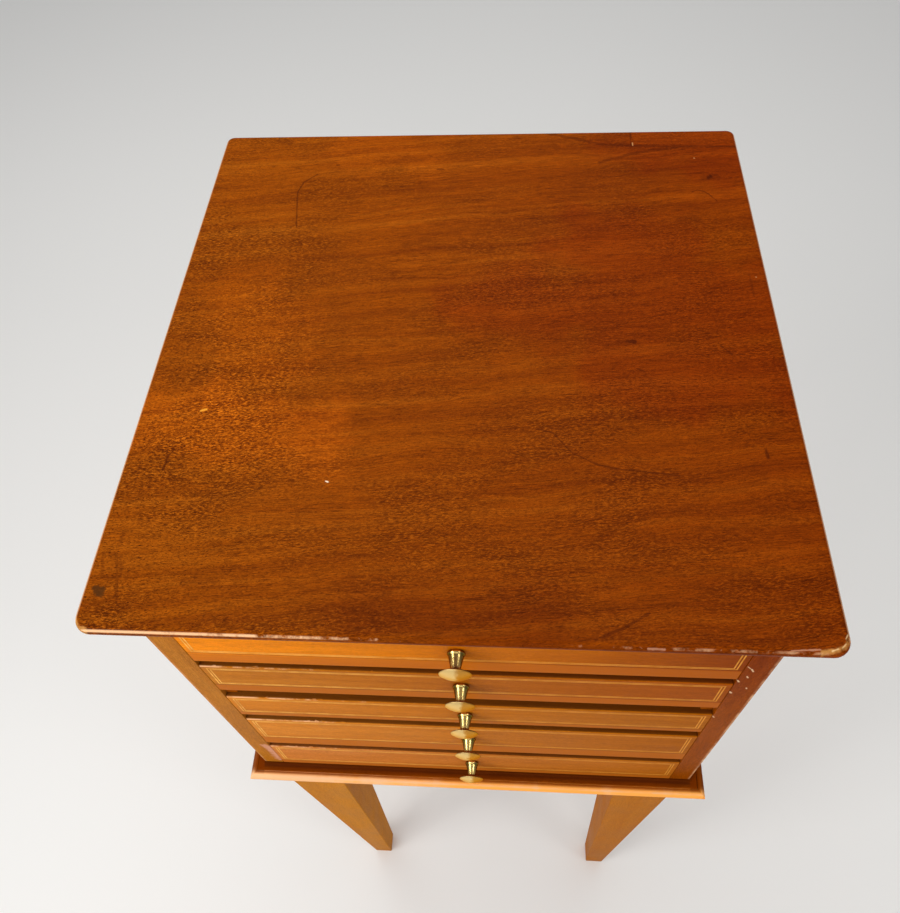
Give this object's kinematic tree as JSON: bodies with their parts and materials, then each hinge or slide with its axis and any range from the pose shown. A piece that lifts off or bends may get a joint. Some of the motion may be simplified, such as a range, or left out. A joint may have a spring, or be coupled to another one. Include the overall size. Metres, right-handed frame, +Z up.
{
  "type": "inlaid mahogany nightstand",
  "caption": "Tall narrow inlaid mahogany nightstand: a square-topped case of shallow drawers with small brass knobs, over a moulded base board on slender square tapering legs.",
  "frame": {"origin": "centre of the footprint on the floor, under the middle of the top board", "axes": "+Z up; -Y towards the drawers' fronts; +X to the right of someone who faces them"},
  "size_m": [0.385, 0.394, 0.9594],
  "materials": {
    "polished_mahogany": "old french polish, worn at the edges",
    "case_mahogany": "old french polish, satin",
    "drawer_mahogany": "old french polish, satin, with flush lines of pale wood",
    "drawer_lining": "plain unpolished wood",
    "brass": "aged brass, softly polished"
  },
  "bodies": {
    "carcass": {"top_board": "polished_mahogany", "side_left": "case_mahogany", "side_right": "case_mahogany", "back_panel": "case_mahogany", "base_board": "case_mahogany", "top_rail": "case_mahogany", "kicker_left": "drawer_lining", "kicker_right": "drawer_lining", "leg_front_left": "case_mahogany", "leg_front_right": "case_mahogany", "leg_back_left": "case_mahogany", "leg_back_right": "case_mahogany", "runner_1_left": "drawer_lining", "runner_1_right": "drawer_lining", "runner_2_left": "drawer_lining", "runner_2_right": "drawer_lining", "runner_3_left": "drawer_lining", "runner_3_right": "drawer_lining", "runner_4_left": "drawer_lining", "runner_4_right": "drawer_lining"},
    "drawer_1": {"drawer_1_front": "drawer_mahogany", "drawer_1_side_left": "drawer_lining", "drawer_1_side_right": "drawer_lining", "drawer_1_back": "drawer_lining", "drawer_1_bottom": "drawer_lining", "drawer_1_knob": "brass", "drawer_1_nut": "brass"},
    "drawer_2": {"drawer_2_front": "drawer_mahogany", "drawer_2_side_left": "drawer_lining", "drawer_2_side_right": "drawer_lining", "drawer_2_back": "drawer_lining", "drawer_2_bottom": "drawer_lining", "drawer_2_knob": "brass", "drawer_2_nut": "brass"},
    "drawer_3": {"drawer_3_front": "drawer_mahogany", "drawer_3_side_left": "drawer_lining", "drawer_3_side_right": "drawer_lining", "drawer_3_back": "drawer_lining", "drawer_3_bottom": "drawer_lining", "drawer_3_knob": "brass", "drawer_3_nut": "brass"},
    "drawer_4": {"drawer_4_front": "drawer_mahogany", "drawer_4_side_left": "drawer_lining", "drawer_4_side_right": "drawer_lining", "drawer_4_back": "drawer_lining", "drawer_4_bottom": "drawer_lining", "drawer_4_knob": "brass", "drawer_4_nut": "brass"},
    "drawer_5": {"drawer_5_front": "drawer_mahogany", "drawer_5_side_left": "drawer_lining", "drawer_5_side_right": "drawer_lining", "drawer_5_back": "drawer_lining", "drawer_5_bottom": "drawer_lining", "drawer_5_knob": "brass", "drawer_5_nut": "brass"}
  },
  "joints": [
    {"name": "drawer_1_slide", "type": "slide", "parent": "carcass", "child": "drawer_1", "axis": [0, -1, 0], "range_m": [0, 0.26]},
    {"name": "drawer_2_slide", "type": "slide", "parent": "carcass", "child": "drawer_2", "axis": [0, -1, 0], "range_m": [0, 0.26]},
    {"name": "drawer_3_slide", "type": "slide", "parent": "carcass", "child": "drawer_3", "axis": [0, -1, 0], "range_m": [0, 0.26]},
    {"name": "drawer_4_slide", "type": "slide", "parent": "carcass", "child": "drawer_4", "axis": [0, -1, 0], "range_m": [0, 0.26]},
    {"name": "drawer_5_slide", "type": "slide", "parent": "carcass", "child": "drawer_5", "axis": [0, -1, 0], "range_m": [0, 0.26]}
  ]
}
